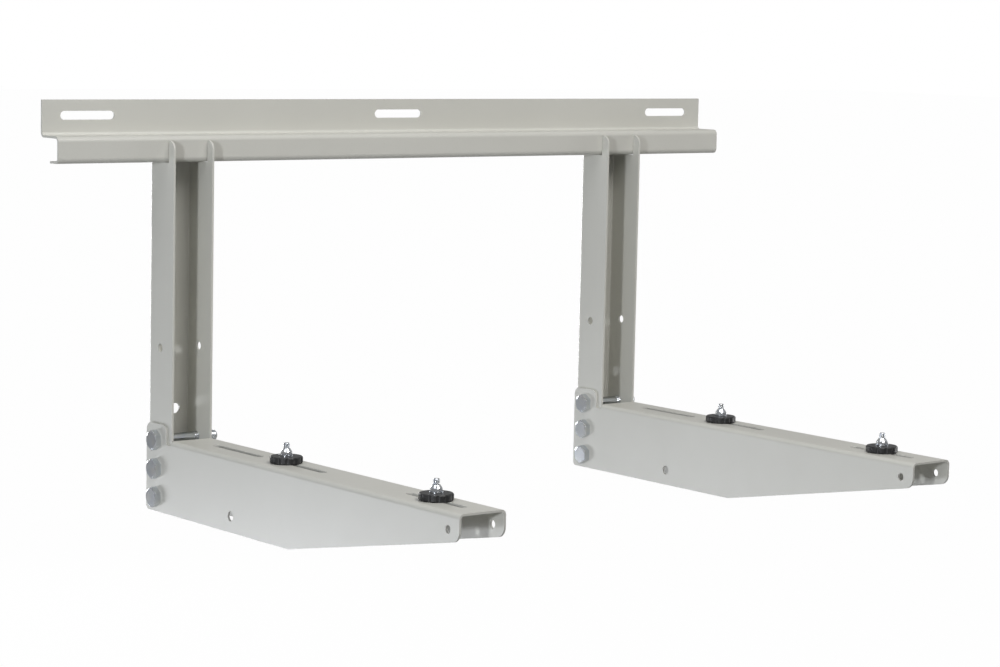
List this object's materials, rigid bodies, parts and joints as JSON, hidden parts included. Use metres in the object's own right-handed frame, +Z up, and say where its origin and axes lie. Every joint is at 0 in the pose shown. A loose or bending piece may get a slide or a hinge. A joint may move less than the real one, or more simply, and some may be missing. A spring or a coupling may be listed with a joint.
{
  "type": "air conditioner outdoor unit bracket",
  "caption": "Wall bracket for an outdoor air conditioner: a slotted rail carries hooked uprights with tapered channel arms and rubber feet.",
  "frame": {"origin": "centre of the rail's middle slot on the wall's face", "axes": "+X along the rail to the right, +Y into the wall, +Z up; the arms reach out along -Y"},
  "size_m": [0.8, 0.498, 0.389],
  "materials": {
    "grey_paint": "light grey powder coat, satin",
    "zinc_fastener": "bright zinc plate",
    "black_rubber": "matt moulded rubber"
  },
  "bodies": {
    "root": {"wall_rail": "grey_paint", "left_upright": "grey_paint", "left_arm": "grey_paint", "left_upper_bolt": "zinc_fastener", "left_upper_nut": "zinc_fastener", "left_middle_bolt": "zinc_fastener", "left_middle_nut": "zinc_fastener", "left_lower_bolt": "zinc_fastener", "left_lower_nut": "zinc_fastener", "left_rear_pad": "black_rubber", "left_rear_foot_bolt": "zinc_fastener", "left_rear_foot_nut": "zinc_fastener", "left_rear_lower_washer": "zinc_fastener", "left_rear_upper_washer": "zinc_fastener", "left_front_pad": "black_rubber", "left_front_foot_bolt": "zinc_fastener", "left_front_foot_nut": "zinc_fastener", "left_front_lower_washer": "zinc_fastener", "left_front_upper_washer": "zinc_fastener", "right_upright": "grey_paint", "right_arm": "grey_paint", "right_upper_bolt": "zinc_fastener", "right_upper_nut": "zinc_fastener", "right_middle_bolt": "zinc_fastener", "right_middle_nut": "zinc_fastener", "right_lower_bolt": "zinc_fastener", "right_lower_nut": "zinc_fastener", "right_rear_pad": "black_rubber", "right_rear_foot_bolt": "zinc_fastener", "right_rear_foot_nut": "zinc_fastener", "right_rear_lower_washer": "zinc_fastener", "right_rear_upper_washer": "zinc_fastener", "right_front_pad": "black_rubber", "right_front_foot_bolt": "zinc_fastener", "right_front_foot_nut": "zinc_fastener", "right_front_lower_washer": "zinc_fastener", "right_front_upper_washer": "zinc_fastener"}
  },
  "joints": []
}
